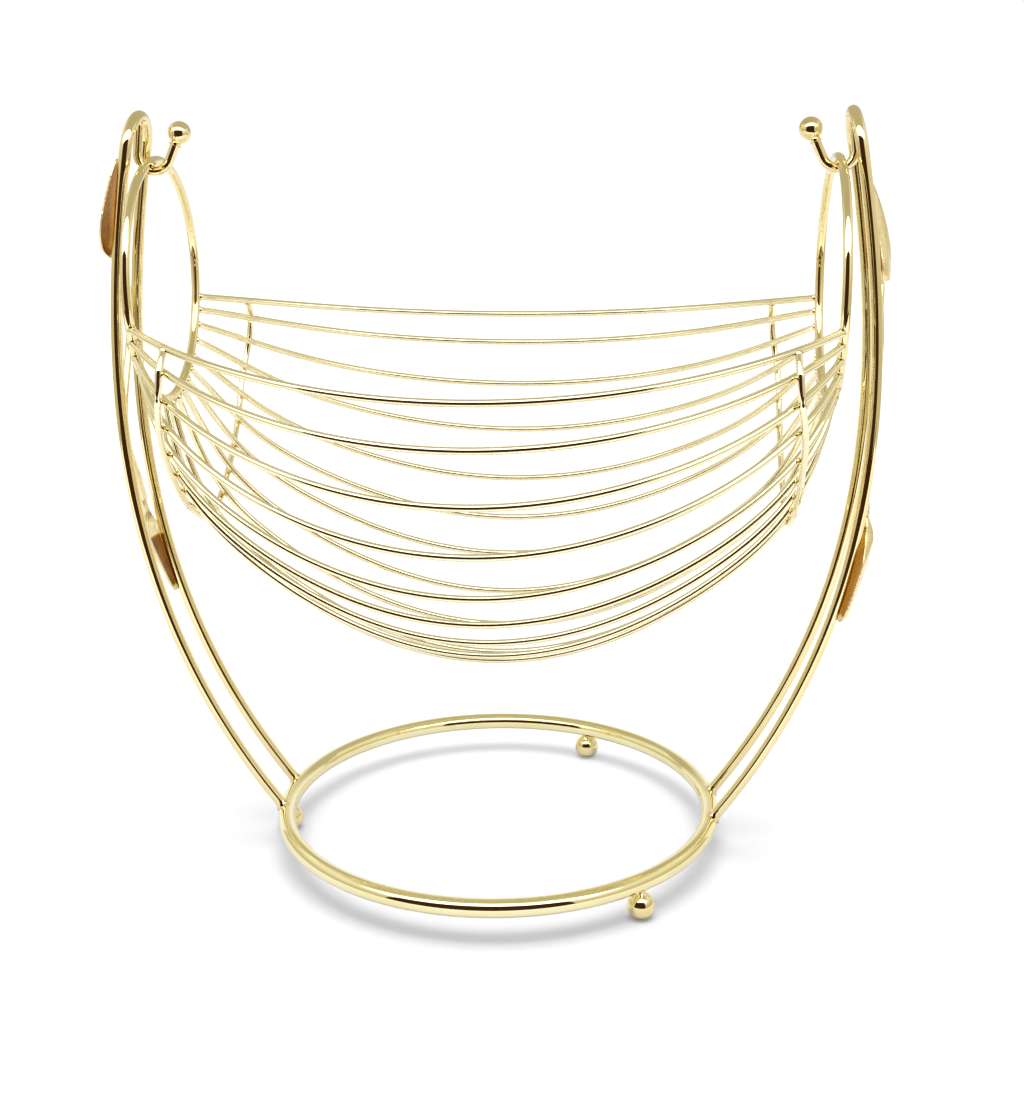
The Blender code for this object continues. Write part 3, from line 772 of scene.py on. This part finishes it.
# Where the pairs lie between the rim and the bottom
PAIR_LANES = (0.0, 0.09, 0.195, 0.31, 0.44, 0.55, 0.655, 0.77, 0.88)
RIM_ANGLE = math.radians(15.2)
RIM_SECTION = (0.1113, swing_level - 0.0762)
SHOULDER_SECTION = (0.156, swing_level - 0.1197)
BOTTOM_SECTION = (0.0517, swing_level - 0.2133)
SPREAD_SHARES = (0.89, 0.51)
SAG_SHARES = (0.86, 0.67)
SPREAD_POWERS = (8.0, 36.0)
SAG_POWERS = (2.5, 19.0)
# How far in from the end rings the ribs cross, and how far round from the rim they are tucked in
RIB_SETBACK = 0.0172
RIB_TUCK_SHARE = 0.085
RIB_ROD = 0.0015
# How much of the gap between solids the rib's welds leave
RIB_GAP_SHARE = 0.3
# How far the ribs slide in near the rim, how much of their lift that makes up for, and where it sets in
RIB_SLIDE = 0.0022
RIB_LIFT_SHARE = 0.7
RIB_SLIDE_FROM = 0.6
RIB_SLIDE_LENGTH = 0.35
rib_plane = (ring_reach - RIB_SETBACK) / ring_reach


def middle_section(lane):
    """Return half-width and height of the cradle's middle section, from the rim at 0 to the bottom at 1."""
    controls = (RIM_SECTION, SHOULDER_SECTION, BOTTOM_SECTION, (0.0, BOTTOM_SECTION[1]))
    section = bezier(controls, SECTION_POINTS)
    length = distance_along(section, False)
    place = np.asarray(lane) * length[-1]
    return np.interp(place, length, section[:, 0]), np.interp(place, length, section[:, 1])


def cradle_point(lane, station):
    """Return half-width, height and reach on the cradle's surface.

    The station runs from the left end ring at -1 to the right one at 1. Width
    and height leave the middle section with the square of the distance, and
    turn to the end ring with a high power of it.
    """
    away = np.abs(station)
    middle_width, middle_level = middle_section(lane)
    angle = mixed(RIM_ANGLE, math.pi / 2.0, lane)
    end_width = RING_RADIUS * np.cos(angle)
    end_level = ring_level - RING_RADIUS * np.sin(angle)
    spread, sag = mixed(*SPREAD_SHARES, lane), mixed(*SAG_SHARES, lane)
    spread_power, sag_power = mixed(*SPREAD_POWERS, lane), mixed(*SAG_POWERS, lane)
    width = mixed(middle_width, end_width, mixed(away ** spread_power, away ** 2, spread))
    level = mixed(middle_level, end_level, mixed(away ** sag_power, away ** 2, sag))
    return width, level, ring_reach * station


def wire_line(lane, side, station):
    """Return points of one long wire's middle line, on the front (-1) or back (1)."""
    width, level, reach = cradle_point(lane, station)
    return np.column_stack((reach, side * width, level))


PALE_WIRE_GOLD = (0.955, 0.875, 0.600)
WARM_WIRE_GOLD = (0.910, 0.800, 0.480)
wire_gold = rod_plating(
    "long_wire_plating", drawn_scale=1500.0, polish=0.04, dent=0.15, pale=PALE_WIRE_GOLD, warm=WARM_WIRE_GOLD)


def surface_point(turn, station):
    """Return points of the cradle's surface; turn is -1 at the front rim, 1 at the back."""
    width, level, reach = cradle_point(1.0 - np.abs(turn), station)
    return np.stack(np.broadcast_arrays(reach, np.sign(turn) * width, level), axis=-1)


def surface_facing(turn):
    """Return the directions in which the cradle's outer side faces along the right rib.

    Each is the way round the surface crossed with the way along it, at length 1.
    """
    step = 0.001
    around = surface_point(np.minimum(turn + step, 1.0), rib_plane) - surface_point(
        np.maximum(turn - step, -1.0), rib_plane)
    along = surface_point(turn, rib_plane + step) - surface_point(turn, rib_plane - step)
    return unit(np.cross(around, along))


def rib_lift(turn):
    """Return how far the rib's middle line stands off the wires'.

    It is both rods' radii and what their welds leave of the gap. Over the
    tuck it falls evenly to nothing at the rim wires, on which the rib ends.
    """
    tucked = np.clip((1.0 - np.abs(turn)) / RIB_TUCK_SHARE, 0.0, 1.0)
    return (WIRE_ROD + RIB_ROD + GAP * RIB_GAP_SHARE) * tucked


def rib_station(turn):
    """Return the rib's stations, which slide in towards the rim, so that its ends stand straight."""
    outward = RIB_LIFT_SHARE * rib_lift(turn) * surface_facing(turn)[:, 0]
    sliding = eased((np.abs(turn) - RIB_SLIDE_FROM) / RIB_SLIDE_LENGTH)
    return rib_plane - (RIB_SLIDE + outward) * sliding / ring_reach


wire_ends = []
wires = [(lane, "wire_{}_{}".format(word, number), way)
         for number, lane in enumerate(PAIR_LANES, start=1) for word, way in (("front", -1.0), ("back", 1.0))]
wires.append((1.0, "wire_bottom", 1.0))
for lane, name, way in wires:
    whole = wire_line(lane, way, np.sin(np.linspace(-0.5, 0.5, WIRE_POINTS) * math.pi))
    wire_ends += [whole[0], whole[-1]]
    crossing = rib_station(np.array((way * (1.0 - lane),)))[0]
    welds = np.vstack((whole[0], whole[-1], wire_line(lane, way, np.array((-crossing, crossing)))))
    line = even(cut_back(whole, RING_ROD * BUTT_SHARE, RING_ROD * BUTT_SHARE), WIRE_STEPS)
    thick = flared(line, WIRE_ROD, WIRE_FLARE, WIRE_FLARE, WIRE_FLARE_LENGTH)
    shape = swept(line, thick, (0.0, WIRE_FACING_LEAN * way, -1.0), WIRE_SIDES)
    add_piece(
        "long_" + name, shape, wire_gold, "basket", [name],
        near_welds(shape[0], welds, WIRE_STAIN))

# End rings
# Two upright rings of 4 mm rod carry the ends of all the long wires and hang in
# the hooks' bends, in which they swing.

RING_POINTS = 300
RING_STAIN = 0.0034
ring_gold = rod_plating("end_ring_plating", drawn_scale=900.0, polish=0.04, dent=0.5)
wire_ends = np.array(wire_ends)
deep, up = round_path(RING_RADIUS, RING_POINTS)
for word, side in BODY_SIDES:
    path = np.column_stack((np.full(len(deep), side * ring_reach), deep, ring_level + up))
    shape = swept(path, RING_ROD, (1.0, 0.0, 0.0), ROD_SIDES, closed=True)
    near = wire_ends[wire_ends[:, 0] * side > 0.0]
    add_piece(
        "ring_" + word, shape, ring_gold, "basket", ["end_ring_" + word],
        near_welds(shape[0], near, RING_STAIN))

# Cross ribs
# A U of 3 mm rod is resistance welded to all the long wires near each end ring,
# which leaves a small squeezed bead at every crossing. Its ends are on the rim wires.

BEAD_SWELL = 0.00035
BEAD_REACH = 0.0028
RIB_POINTS = 240
RIB_STEPS = 420
RIB_FLARE = 0.0003
RIB_FLARE_LENGTH = 0.001
RIB_STAIN = 0.0022


def rib_line(turn, lift):
    """Return points of the right rib, lifted square off the cradle's outer side."""
    return surface_point(turn, rib_station(turn)) + lift[:, None] * surface_facing(turn)


rib_gold = rod_plating(
    "rib_plating", drawn_scale=1200.0, polish=0.04, dent=0.3, pale=PALE_WIRE_GOLD, warm=WARM_WIRE_GOLD)
turns = np.linspace(-1.0, 1.0, RIB_POINTS)
lanes = np.array(PAIR_LANES)
crossings = np.concatenate((lanes - 1.0, (0.0,), 1.0 - lanes))
for word, side in BODY_SIDES:
    line = turned(rib_line(turns, rib_lift(turns)), side)
    beads = turned(rib_line(crossings, np.full(len(crossings), WIRE_ROD)), side)
    line = even(cut_back(line, WIRE_ROD * BUTT_SHARE, WIRE_ROD * BUTT_SHARE), RIB_STEPS)
    swell = BEAD_SWELL * near_welds(line, beads, BEAD_REACH)
    thick = flared(line, RIB_ROD, RIB_FLARE, RIB_FLARE, RIB_FLARE_LENGTH) + swell
    shape = swept(line, thick, (1.0, 0.0, 0.0), WIRE_SIDES)
    add_piece(
        "rib_u_" + word, shape, rib_gold, "basket", ["rib_" + word],
        near_welds(shape[0], beads, RIB_STAIN))

# Studio
# A white paper floor in a tent of cream cloth, with a bright soft box over the
# front and a dark opening in the front wall. The side walls are duller low down
# and the back wall high up. Only the metal's reflections see the tent.

ROOM_HALF_WIDTH = 0.85
ROOM_BACK = 0.60
ROOM_FRONT = -0.62
ROOM_TOP = 0.72
FLOOR_FRONT = -0.42
OPENING_TOP = 0.66
OPENING_LEFT = -0.66
OPENING_RIGHT = 0.50
SOFT_BOX_BACK = -0.235
SOFT_BOX_STRENGTH = 3.0
OPENING_SETBACK = 0.02
DARK_ROOM = (0.050, 0.020, 0.010)
WHITE = (1.0, 1.0, 1.0)
CREAM = (0.93, 0.90, 0.78)
CREAM_SHADE = (0.54, 0.51, 0.38)
LOW_CLOTH = (0.62, 0.58, 0.43)
# Between which distances from the origin the cloth changes colour: up the walls, and out along the ceiling
WALL_RISE = (0.10, 0.60)
BACK_RISE = (0.18, 0.46)
CEILING_SPREAD = (0.36, 0.80)


def flat_panel(name, material, camera_sees, corner, across, upward):
    """Make one flat panel of the studio, from a corner along two edges."""
    corner, across, upward = Vector(corner), Vector(across), Vector(upward)
    mesh = bpy.data.meshes.new(name)
    mesh.from_pydata([corner, corner + across, corner + across + upward, corner + upward], [], [(0, 1, 2, 3)])
    mesh.materials.append(material)
    panel = bpy.data.objects.new(name, mesh)
    bpy.context.scene.collection.objects.link(panel)
    panel.visible_camera = camera_sees
    panel.visible_diffuse = camera_sees
    panel.visible_shadow = camera_sees


def glowing(name, near, far, rises=(0.0, 1.0), axis=2, strength=1.0):
    """Make a studio panel's glow, whose colour turns from near to far along one axis.

    It turns between two distances from the origin, by height unless told
    otherwise. Light that comes by way of the floor doesn't count, so that the
    floor's shadows stay free of the metal's colour.
    """
    material = bpy.data.materials.new(name)
    material.use_nodes = True
    tree = material.node_tree
    tree.nodes.remove(tree.nodes["Principled BSDF"])
    start = Signal(tree)
    place = start.node("ShaderNodeTexCoord", output=3)
    distance = start.math("ABSOLUTE", start.node("ShaderNodeSeparateXYZ", inputs={0: place}, output=axis))
    by_floor = start.node("ShaderNodeLightPath", output="Diffuse Depth").limited()
    colour = by_floor.toned(distance.stepped(*rises).toned(near, far), (0.0, 0.0, 0.0))
    glow = start.node("ShaderNodeEmission", inputs={"Color": colour, "Strength": strength})
    start.feed(tree.nodes["Material Output"].inputs["Surface"], glow)
    return material


cloth = glowing("tent_cloth", LOW_CLOTH, CREAM, WALL_RISE)
back_cloth = glowing("tent_back_cloth", WHITE, CREAM_SHADE, BACK_RISE)
ceiling = glowing("tent_ceiling", CREAM_SHADE, CREAM, CEILING_SPREAD, axis=0)
soft_box = glowing("soft_box", WHITE, WHITE, strength=SOFT_BOX_STRENGTH)
dark_room = glowing("dark_room", DARK_ROOM, DARK_ROOM)
w, back, front, top = ROOM_HALF_WIDTH, ROOM_BACK, ROOM_FRONT, ROOM_TOP
whole_width = (2.0 * w, 0.0, 0.0)
left_width, right_width = (OPENING_LEFT + w, 0.0, 0.0), (w - OPENING_RIGHT, 0.0, 0.0)
depth, height = (0.0, back - front, 0.0), (0.0, 0.0, top)
flat_panel("tent_back", back_cloth, False, (-w, back, 0.0), whole_width, height)
flat_panel("tent_left", cloth, False, (-w, front, 0.0), depth, height)
flat_panel("tent_right", cloth, False, (w, front, 0.0), depth, height)
flat_panel(
    "tent_top", ceiling, False, (-w, SOFT_BOX_BACK, top), whole_width, (0.0, back - SOFT_BOX_BACK, 0.0))
flat_panel("tent_soft_box", soft_box, False, (-w, front, top), whole_width, (0.0, SOFT_BOX_BACK - front, 0.0))
flat_panel(
    "tent_valance", soft_box, False, (-w, front, OPENING_TOP), whole_width, (0.0, 0.0, top - OPENING_TOP))
flat_panel("tent_flap_left", cloth, False, (-w, front, 0.0), left_width, (0.0, 0.0, OPENING_TOP))
flat_panel("tent_flap_right", cloth, False, (OPENING_RIGHT, front, 0.0), right_width, (0.0, 0.0, OPENING_TOP))
flat_panel(
    "tent_opening", dark_room, False, (-w, front - OPENING_SETBACK, -top), whole_width,
    (0.0, 0.0, OPENING_TOP + top))

FLOOR_REACH = 6.0
FLOOR_FRONT_BLUR = 0.015
PAPER = (0.895, 0.90, 0.905)
# The paper's own glow at the front and the back, and where it changes, as the camera sees it
SEEN_FRONT = (0.18, 0.18, 0.18)
SEEN_BACK = (0.34, 0.34, 0.34)
SEEN_CHANGE = (-0.16, 0.12)
# The same, as the metal mirrors it
MIRRORED_FRONT = (0.52, 0.52, 0.52)
MIRRORED_BACK = (0.14, 0.14, 0.14)
MIRRORED_CHANGE = (-0.36, -0.14)
floor_material = bpy.data.materials.new("white_sweep")
floor_material.use_nodes = True
tree = floor_material.node_tree
tree.nodes.remove(tree.nodes["Principled BSDF"])
start = Signal(tree)
place = start.node("ShaderNodeTexCoord", output=3)
from_front = start.node("ShaderNodeSeparateXYZ", inputs={0: place}, output=1)
mirrored = start.node("ShaderNodeLightPath", output="Is Glossy Ray")
by_floor = start.node("ShaderNodeLightPath", output="Diffuse Depth").limited()
paper = start.node("ShaderNodeBsdfDiffuse", inputs={"Color": (*PAPER, 1.0)})
seen_glow = from_front.stepped(*SEEN_CHANGE).toned(SEEN_FRONT, SEEN_BACK)
mirrored_glow = from_front.stepped(*MIRRORED_CHANGE).toned(MIRRORED_FRONT, MIRRORED_BACK)
glow = start.node("ShaderNodeEmission", inputs={
    "Color": mirrored.toned(seen_glow, mirrored_glow), "Strength": 1.0})
lit = start.node("ShaderNodeAddShader", inputs={0: paper, 1: glow})
dark = start.node("ShaderNodeEmission", inputs={"Color": (*DARK_ROOM, 1.0), "Strength": 1.0})
beyond = 1.0 - from_front.stepped(FLOOR_FRONT - FLOOR_FRONT_BLUR, FLOOR_FRONT)
dimmed = mirrored * start.math("MAXIMUM", beyond, by_floor)
both = start.node("ShaderNodeMixShader", inputs={0: dimmed.limited(), 1: lit, 2: dark})
start.feed(tree.nodes["Material Output"].inputs["Surface"], both)
flat_panel(
    "floor", floor_material, True, (-FLOOR_REACH, -FLOOR_REACH, 0.0), (2.0 * FLOOR_REACH, 0.0, 0.0),
    (0.0, 2.0 * FLOOR_REACH, 0.0))

# The room's light on the paper; the camera sees the room itself as white
ROOM_LIGHT = (0.36, 0.36, 0.36)
world = bpy.data.worlds.new("studio")
bpy.context.scene.world = world
world.use_nodes = True
start = Signal(world.node_tree)
seen = start.node("ShaderNodeLightPath", output="Is Camera Ray")
start.feed(world.node_tree.nodes["Background"].inputs["Color"], seen.toned(ROOM_LIGHT, WHITE))

LAMP_STRENGTH = 2.3
LAMP_SOFTNESS = math.radians(46.0)
LAMP_LEAN = math.radians(10.0)
lamp = bpy.data.lights.new("overhead_lamp", "SUN")
lamp.energy = LAMP_STRENGTH
lamp.angle = LAMP_SOFTNESS
lamp_object = bpy.data.objects.new("overhead_lamp", lamp)
lamp_object.rotation_euler = (LAMP_LEAN, 0.0, 0.0)
lamp_object.visible_glossy = False
bpy.context.scene.collection.objects.link(lamp_object)

# Camera
# It stands at the photograph's place, a little to the right and well above the
# basket's middle, rolled by half a degree.

CAMERA_AZIMUTH = math.radians(4.9)
CAMERA_HEIGHT_ANGLE = math.radians(16.73)
CAMERA_DISTANCE = 0.7073
CAMERA_TARGET = Vector((0.0074, 0.00045, 0.1395))
CAMERA_ROLL = math.radians(-0.558)
LENS_PIXELS = 1588.0
PHOTO_WIDTH = 1024.0

view = Vector((
    -math.sin(CAMERA_AZIMUTH) * math.cos(CAMERA_HEIGHT_ANGLE),
    math.cos(CAMERA_AZIMUTH) * math.cos(CAMERA_HEIGHT_ANGLE),
    -math.sin(CAMERA_HEIGHT_ANGLE)))
camera = bpy.data.cameras.new("camera")
camera.sensor_fit = "HORIZONTAL"
camera.lens = camera.sensor_width * LENS_PIXELS / PHOTO_WIDTH
camera_object = bpy.data.objects.new("camera", camera)
camera_object.matrix_world = (
    Matrix.Translation(CAMERA_TARGET - view * CAMERA_DISTANCE)
    @ view.to_track_quat("-Z", "Y").to_matrix().to_4x4()
    @ Matrix.Rotation(CAMERA_ROLL, 4, "Z"))
bpy.context.scene.collection.objects.link(camera_object)
bpy.context.scene.camera = camera_object
bpy.context.scene.view_settings.view_transform = "Standard"
